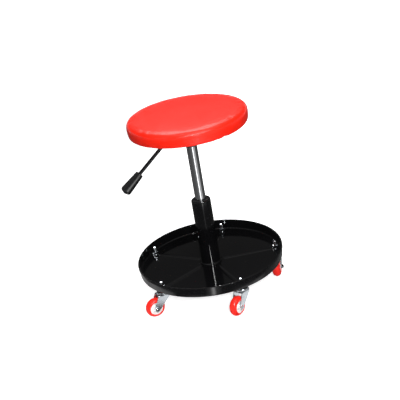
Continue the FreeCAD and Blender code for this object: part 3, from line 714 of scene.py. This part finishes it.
# %% [markdown]
# ## Blow it up
# Cloth with pressure and no gravity pushes every face outwards until the weave holds it. The underside and
# the recess are pinned, as the board and the staples hold them. Twenty frames are enough. A cap keeps a
# point from moving far, and only a share of the rest is used, because the foam behind the vinyl gives less
# than air would. The result is made part of the mesh, and the modifier goes.

# %% Stuff the cushion
pressure = 4.0
settle_frames = 20
most_swell = 3.2 * mm
foam_give_share = 0.3
pinned_height = 5.0 * mm


def settled(piece):
    """Replaces a piece's mesh with what its modifiers make of it."""
    graph = bpy.context.evaluated_depsgraph_get()
    mesh = bpy.data.meshes.new_from_object(piece.evaluated_get(graph))
    piece.modifiers.clear()
    piece.data = mesh


def stuff(piece, pinned):
    """Blows a closed skin up with Cloth, except at the pinned vertices, and returns the furthest move."""
    start = [vertex.co.copy() for vertex in piece.data.vertices]
    held = piece.vertex_groups.new(name="held")
    held.add(pinned, 1.0, "REPLACE")
    cloth_modifier = piece.modifiers.new("stuffing", "CLOTH")
    cloth_modifier.settings.use_pressure = True
    cloth_modifier.settings.uniform_pressure_force = pressure
    cloth_modifier.settings.vertex_group_mass = "held"
    cloth_modifier.settings.effector_weights.gravity = 0.0
    cloth_modifier.point_cache.frame_start = 1
    cloth_modifier.point_cache.frame_end = settle_frames
    for number in range(1, settle_frames + 1):
        bpy.context.scene.frame_set(number)
    settled(piece)
    bpy.context.scene.frame_set(1)
    for vertex, rest in zip(piece.data.vertices, start):
        move = vertex.co - rest
        reach = min(move.length, most_swell)
        vertex.co = rest + move.normalized() * reach * foam_give_share
    return max((vertex.co - rest).length for vertex, rest in zip(piece.data.vertices, start))


def in_recess(spot):
    """Whether a spot lies on the underside or on the walls of the board's recess."""
    low = spot.z < cover_low.z + pinned_height
    within = math.hypot(spot.x, spot.y) < board_radius + recess_margin
    return low or (within and spot.z < board_high.z + recess_margin)


pinned = [vertex.index for vertex in cushion.data.vertices if in_recess(vertex.co)]
print("cushion: swollen by up to", round(1000 * stuff(cushion, pinned), 2), "mm")

# %% [markdown]
# ## Staples and pulls
# The upholsterer works round the board with a staple gun, and each staple draws the edge in and up a
# little. Their places come from a seeded random draw, so they are uneven in the same way every time. One
# fold is larger: the vinyl was tucked there, where the last of the slack ended up.

# %% Pull the lower edge in
staple_count = 38
staple_spread_share = 0.22
staple_seed = 11
tuck_angle = 303.5
tuck_depth = 2.6 * mm
tuck_width = 6.0 * mm
most_pull = 0.9 * mm
pull_width = 7.0 * mm
pull_height = 13.0 * mm
pull_inset = 6.0 * mm
pull_fade = 1.5
pull_rise_share = 0.35
hand = random.Random(staple_seed)
staples = []
for number in range(staple_count):
    place = number + hand.uniform(-staple_spread_share, staple_spread_share)
    staples.append((place * 360 / staple_count, hand.uniform(0, most_pull)))


def apart(angle, other):
    """How far apart two angles in degrees are along the cushion's edge."""
    return math.radians((angle - other + 180) % 360 - 180) * seat_radius


def pull_at(angle):
    """How far the staples and the tuck draw the lower edge in at this angle."""
    pull = sum(depth * math.exp(-((apart(angle, place) / pull_width) ** 2)) for place, depth in staples)
    return pull + tuck_depth * math.exp(-((apart(angle, tuck_angle) / tuck_width) ** 2))


def drawn_in(spot):
    """Where the pulls bring a spot near the cushion's lower edge."""
    radius = math.hypot(spot.x, spot.y)
    height = 1 - (spot.z - cover_low.z) / pull_height
    outside = min(1, max(0, (radius - board_radius + pull_inset) / (seat_radius - board_radius)))
    if height <= 0 or outside <= 0:
        return spot
    pull = pull_at(math.degrees(math.atan2(spot.y, spot.x))) * min(1, height) ** pull_fade * outside
    inwards = 1 - pull / radius
    return Vector((spot.x * inwards, spot.y * inwards, spot.z + pull_rise_share * pull))


for vertex in cushion.data.vertices:
    vertex.co = drawn_in(vertex.co)
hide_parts("seat_cover", "seat_foam")
print("cushion:", len(staples), "pulls and a tuck,", len(cushion.data.polygons), "faces")

# %% [markdown]
# ## The turned-in hem
# Under the seat the cover's edge lies folded in on the board. It is cut by hand, so its inner edge wanders,
# and between two staples the slack stands off the board as a pleat. The hem is a ring extruded inwards
# from a circle. Each ring of points is then lowered where a pleat runs, more towards the free edge.

# %% Hem
mouth_radius = board_radius - 20.0 * mm
hem_thickness = 1.1 * mm
hem_gap = 0.1 * mm
hem_steps = 570
hem_rings = 9
hem_outer = seat_radius - 6.5 * mm
cut_wander = 1.6 * mm
slow_waves, quick_waves, quick_start = 5, 17, 40
least_pleat, most_pleat = 0.5 * mm, 1.7 * mm
pleat_fade = 1.5
pleat_depths = [hand.uniform(least_pleat, most_pleat) for _ in staples]
pleat_ends = sorted(place % 360 for place, _ in staples)


def pleat_at(angle):
    """How far the slack between two staples stands off the board at this angle."""
    passed = bisect.bisect(pleat_ends, angle)
    before = pleat_ends[passed - 1] - (0 if passed else 360)
    after = pleat_ends[passed] if passed < len(pleat_ends) else pleat_ends[0] + 360
    share = (angle - before) / (after - before)
    return pleat_depths[passed - 1] * math.sin(math.pi * share) ** 2


bm = bmesh.new()
bmesh.ops.create_circle(bm, segments=hem_steps, radius=hem_outer)
ring_edges = bm.edges[:]
for number in range(1, hem_rings + 1):
    share = number / hem_rings
    grown = bmesh.ops.extrude_edge_only(bm, edges=ring_edges)["geom"]
    ring_edges = [item for item in grown if isinstance(item, bmesh.types.BMEdge)]
    for corner in (item for item in grown if isinstance(item, bmesh.types.BMVert)):
        angle = math.degrees(math.atan2(corner.co.y, corner.co.x)) % 360
        slow = math.sin(math.radians(slow_waves * angle))
        quick = math.sin(math.radians(quick_waves * angle + quick_start))
        radius = hem_outer + share * (mouth_radius + cut_wander * slow * quick - hem_outer)
        turn = math.radians(angle)
        drop = pleat_at(angle) * share**pleat_fade
        corner.co = Vector((radius * math.cos(turn), radius * math.sin(turn), -drop))
bmesh.ops.translate(bm, vec=(0, 0, board_low.z - hem_thickness - hem_gap), verts=bm.verts)
for corner in bm.verts:
    corner.co = drawn_in(corner.co)
bmesh.ops.recalc_face_normals(bm, faces=bm.faces)
if bm.faces[:][0].normal.z > 0:
    bmesh.ops.reverse_faces(bm, faces=bm.faces)
bmesh.ops.solidify(bm, geom=bm.faces[:], thickness=hem_thickness)
bmesh.ops.recalc_face_normals(bm, faces=bm.faces)
print("hem:", len(bm.faces), "faces")
hem = make_piece("cover_hem", bm, finishes["seat_vinyl"], "seat")

# %% [markdown]
# ## Staples
# A fine-wire staple shows only its crown, a bright bar about ten millimetres long. Each is a cube with its
# edges bevelled, laid across the pull that it makes, and never quite square. They are many and small, so
# they are one piece.

# %% Staples
staple_crown = Vector((1.0, 9.5, 0.7)) * mm
staple_edge = 0.2 * mm
staple_ring = mouth_radius + 7.0 * mm
staple_stray = 1.5 * mm
staple_skew = 14
staple_z = board_low.z - hem_thickness - 0.3 * mm
bm = bmesh.new()
for place, _ in staples:
    turn = Matrix.Rotation(math.radians(place), 4, "Z")
    lay = Matrix.Translation((staple_ring + hand.uniform(-staple_stray, staple_stray), 0, staple_z))
    skew = Matrix.Rotation(math.radians(hand.uniform(-staple_skew, staple_skew)), 4, "Z")
    crown = Matrix.Diagonal((*staple_crown, 1))
    made = bmesh.ops.create_cube(bm, size=1.0, matrix=turn @ lay @ skew @ crown)
    sides = dict.fromkeys(edge for corner in made["verts"] for edge in corner.link_edges)
    bmesh.ops.bevel(
        bm,
        geom=list(sides),
        offset=staple_edge,
        offset_type="OFFSET",
        segments=2,
        profile=0.5,
        affect="EDGES",
        material=-1,
    )
print("staples:", len(staples))
crowns = make_piece("cover_staples", bm, bright_zinc, "seat")

# %% [markdown]
# ## Screw threads
# A thread could be a bump, but the castors' stems stand up from the tray where everyone sees them, and a
# bump leaves their outline smooth. So one turn's profile is spun round and lifted by one pitch a turn,
# which lays each turn on the one before. The end of a real stud is turned down to a cone, and the same
# cone is pressed on the corners here.

# %% Thread helper
thread_steps = 24
thread_depth_share = 0.6
crest_start, crest_end = 0.4, 0.6
end_cone_share = 0.62


def thread(bm, radius, pitch, low, high):
    """A screw thread round Z on its own core, its upper end turned down to a cone."""
    root = radius - thread_depth_share * pitch
    turns = math.ceil((high - low) / pitch)
    profile = [
        bm.verts.new((reach, 0, low + share * pitch))
        for reach, share in ((root, 0), (radius, crest_start), (radius, crest_end), (root, 1))
    ]
    chain = [bm.edges.new(pair) for pair in zip(profile, profile[1:])]
    bmesh.ops.spin(
        bm,
        geom=profile + chain,
        cent=(0, 0, 0),
        axis=(0, 0, 1),
        dvec=(0, 0, pitch / thread_steps),
        angle=math.tau * turns,
        steps=thread_steps * turns,
    )
    outline(bm, [(0, low, 0), (root, low, 0), (root, high, 0), (0, high, 0)])
    core = [edge for edge in bm.edges if not edge.link_faces]
    corners = list(dict.fromkeys(corner for edge in core for corner in edge.verts))
    full_turn(bm, corners + core, thread_steps)
    for corner in bm.verts:
        reach = math.hypot(corner.co.x, corner.co.y)
        limit = end_cone_share * radius + max(0, high - corner.co.z)
        if reach > limit:
            corner.co.x *= limit / reach
            corner.co.y *= limit / reach
        corner.co.z = min(corner.co.z, high)
    bmesh.ops.remove_doubles(bm, verts=bm.verts, dist=weld_distance)
    bmesh.ops.dissolve_degenerate(bm, edges=bm.edges, dist=weld_distance)
    bmesh.ops.recalc_face_normals(bm, faces=bm.faces)


def add_copy(bm, mesh, place):
    """Adds a copy of a small mesh, moved and turned by this matrix."""
    known = len(bm.verts)
    bm.from_mesh(mesh)
    bm.verts.ensure_lookup_table()
    bmesh.ops.transform(bm, matrix=place, verts=bm.verts[known:])


# %% [markdown]
# ## Hexagons
# A nut is a hexagon with a hole, and its corners are turned off at thirty degrees so that they don't bite
# the hand. The hole's circle and the hexagon have as many corners each, so bridging them makes the first
# face. It is extruded to a prism, and a plane through each corner slices its tip away. A bolt's head is the
# same without the hole, sliced at its outer end only.

# %% Hexagon helper
corner_cuts = 3
chamfer_angle = math.radians(30)
washer_face_share = 0.475


def hexagon(bm, flats, height, bore=0.0, ends=(1,)):
    """A hexagonal prism that stands on Z = 0, its corners sliced off at the top (1) or the bottom (-1)."""
    bmesh.ops.create_circle(bm, segments=6, radius=flats / math.sqrt(3), cap_ends=not bore)
    if bore:
        bmesh.ops.subdivide_edges(bm, edges=bm.edges[:], cuts=corner_cuts)
        bmesh.ops.create_circle(bm, segments=6 * (corner_cuts + 1), radius=bore)
        bmesh.ops.bridge_loops(bm, edges=bm.edges[:])
    grown = bmesh.ops.extrude_face_region(bm, geom=bm.faces[:])["geom"]
    upper = [item for item in grown if isinstance(item, bmesh.types.BMVert)]
    bmesh.ops.translate(bm, vec=(0, 0, height), verts=upper)
    bmesh.ops.recalc_face_normals(bm, faces=bm.faces)
    for end in ends:
        for corner in range(6):
            aside = Vector((math.cos(math.radians(60 * corner)), math.sin(math.radians(60 * corner)), 0))
            spot = washer_face_share * flats * aside + Vector((0, 0, height if end > 0 else 0))
            slope = math.sin(chamfer_angle) * aside + Vector((0, 0, end * math.cos(chamfer_angle)))
            everything = bm.verts[:] + bm.edges[:] + bm.faces[:]
            bmesh.ops.bisect_plane(bm, geom=everything, plane_co=spot, plane_no=slope, clear_outer=True)
            bmesh.ops.holes_fill(bm, edges=[edge for edge in bm.edges if edge.is_boundary], sides=0)


# %% [markdown]
# ## Stems and nuts in the tray
# Each castor's stem is one forging: a riveted head under the fork, a kingpin, a flange against the tray and
# a threaded end with a nut on it. The castors' places come from the joints that they swivel on.

# %% Stems and nuts
stem_radius = 4.0 * mm
stem_pitch = 1.25 * mm
kingpin_radius = 5.0 * mm
rivet_radius = 8.5 * mm
rivet_height = 2.4 * mm
rivet_round = 1.8 * mm
rivet_edge = 0.3 * mm
flange_radius = 9.5 * mm
flange_edge = 0.4 * mm
nut_flats = 13.0 * mm
stem_steps = 40
stems_low, stems_high = (corner[2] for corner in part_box("castor_stems"))
nuts_low, nuts_high = (corner[2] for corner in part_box("castor_nuts"))
cups_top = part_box("castor_cups")[1][2]
tray_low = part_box("tray")[0][2]
joints = {joint["name"]: joint for joint in frame["record"]["behaviour"]["joints"]}
kingpins = [joint["pos_m"] for name, joint in joints.items() if name.startswith("castor_swivel_")]

bm = bmesh.new()
outline(
    bm,
    [
        (0, stems_low, 0),
        (rivet_radius, stems_low, rivet_round),
        (rivet_radius, stems_low + rivet_height, rivet_edge),
        (kingpin_radius, stems_low + rivet_height, 0),
        (kingpin_radius, cups_top, 0),
        (flange_radius, cups_top, flange_edge),
        (flange_radius, tray_low, flange_edge),
        (stem_radius, tray_low, 0),
        (stem_radius, nuts_low, 0),
        (0, nuts_low, 0),
    ],
)
spun(bm, stem_steps)
shank = new_mesh("stem_shank", bm)
bm = bmesh.new()
thread(bm, stem_radius, stem_pitch, nuts_low, stems_high)
stud = new_mesh("stem_thread", bm)
bm = bmesh.new()
hexagon(bm, nut_flats, nuts_high - nuts_low, bore=stem_radius, ends=(1, -1))
bmesh.ops.translate(bm, vec=(0, 0, nuts_low), verts=bm.verts)
nut = new_mesh("stem_nut", bm)

five_stems, five_nuts = bmesh.new(), bmesh.new()
for x, y, _ in kingpins:
    aside = Matrix.Translation((x, y, 0))
    add_copy(five_stems, shank, aside)
    add_copy(five_stems, stud, aside)
    add_copy(five_nuts, nut, aside)
print("stems:", len(five_stems.faces), "faces; nuts:", len(five_nuts.faces))
stems = make_piece("threaded_stems", five_stems, bright_zinc, "base", smooth=False)
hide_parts("castor_stems")
nuts = make_piece("stem_nuts", five_nuts, bright_zinc, "base", smooth=False)
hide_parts("castor_nuts")
light_only(spark_softbox, stems, nuts)

# %% [markdown]
# ## Axle bolts
# A castor's bolt lies across it, with its nut on the side that the axle's own direction points to. How far
# it reaches each way is measured on the drawing's piece, so the new one ends where the old one did.

# %% Axle bolts and nuts
axle_radius = 3.0 * mm
axle_pitch = 1.0 * mm
axle_flats = 10.0 * mm
axle_head_height = 3.0 * mm
axle_nut_height = 4.5 * mm
axle_stub = 0.8 * mm


def reaches(node, middle, axis):
    """How far a node reaches along an axis, each way from a middle."""
    along = [(vertex.co - middle).dot(axis) for vertex in frame["nodes"][node].data.vertices]
    return min(along), max(along)


def axle_bolt(back, front):
    """A bolt along Z with its nut, between these two ends."""
    face = front - axle_stub - axle_nut_height
    bm = bmesh.new()
    thread(bm, axle_radius, axle_pitch, face, front)
    stub = new_mesh("axle_thread", bm)
    bm = bmesh.new()
    hexagon(bm, axle_flats, axle_head_height, ends=(-1,))
    bmesh.ops.translate(bm, vec=(0, 0, back), verts=bm.verts)
    head = new_mesh("axle_head", bm)
    bm = bmesh.new()
    hexagon(bm, axle_flats, axle_nut_height, bore=axle_radius, ends=(1,))
    bmesh.ops.translate(bm, vec=(0, 0, face), verts=bm.verts)
    nut = new_mesh("axle_nut", bm)
    bm = bmesh.new()
    inside_head = back + axle_head_height / 2
    outline(bm, [(0, back, 0), (axle_radius, inside_head, 0), (axle_radius, face, 0), (0, face, 0)])
    spun(bm, thread_steps)
    for mesh in (stub, head, nut):
        bm.from_mesh(mesh)
    return bm


for name in frame["nodes"]:
    if name.startswith("castor_axle_"):
        place = name.removeprefix("castor_axle_")
        joint = joints["wheel_roll_" + place]
        middle, axis = Vector(joint["pos_m"]), Vector(joint["axis"])
        bm = axle_bolt(*reaches(name, middle, axis))
        turn = axis.to_track_quat("Z", "Y").to_matrix().to_4x4()
        bmesh.ops.transform(bm, matrix=Matrix.Translation(middle) @ turn, verts=bm.verts)
        bolt = make_piece("axle_bolt_" + place, bm, bright_zinc, "castor_" + place, smooth=False)
        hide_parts(name)
        print("axle bolt:", place, len(bolt.data.polygons), "faces")

# %% [markdown]
# ## Seat bolts
# Four flanged bolts hold the seat plate. Only their heads show, from under the seat, but each is whole.

# %% Seat bolts
bolt_radius = 3.0 * mm
bolt_flats = 10.0 * mm
bolt_head = 4.0 * mm
bolt_flange = 1.5 * mm
bolt_flange_radius = 6.5 * mm
bolt_flange_edge = 0.3 * mm
cone_rise = 0.4 * mm
bolts_low, bolts_high = (Vector(corner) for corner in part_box("seat_bolts"))
bolt_out = bolts_high.x - bolt_flange_radius
flange_z = bolts_low.z + bolt_head

bm = bmesh.new()
outline(
    bm,
    [
        (0, flange_z - cone_rise, 0),
        (bolt_flats / 2, flange_z - cone_rise, 0),
        (bolt_flange_radius, flange_z + bolt_flange / 2, bolt_flange_edge),
        (bolt_flange_radius, flange_z + bolt_flange, 0),
        (bolt_radius, flange_z + bolt_flange, 0),
        (bolt_radius, bolts_high.z, 0),
        (0, bolts_high.z, 0),
    ],
)
spun(bm, stem_steps)
body = new_mesh("bolt_body", bm)
bm = bmesh.new()
hexagon(bm, bolt_flats, bolt_head, ends=(-1,))
bmesh.ops.translate(bm, vec=(0, 0, bolts_low.z), verts=bm.verts)
bm.from_mesh(body)
whole = new_mesh("seat_bolt", bm)
bm = bmesh.new()
for x in (-bolt_out, bolt_out):
    for y in (-bolt_out, bolt_out):
        add_copy(bm, whole, Matrix.Translation((x, y, 0)))
print("seat bolts:", len(bm.faces), "faces")
bolts = make_piece("flanged_bolts", bm, bright_zinc, "seat", smooth=False)
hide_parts("seat_bolts")
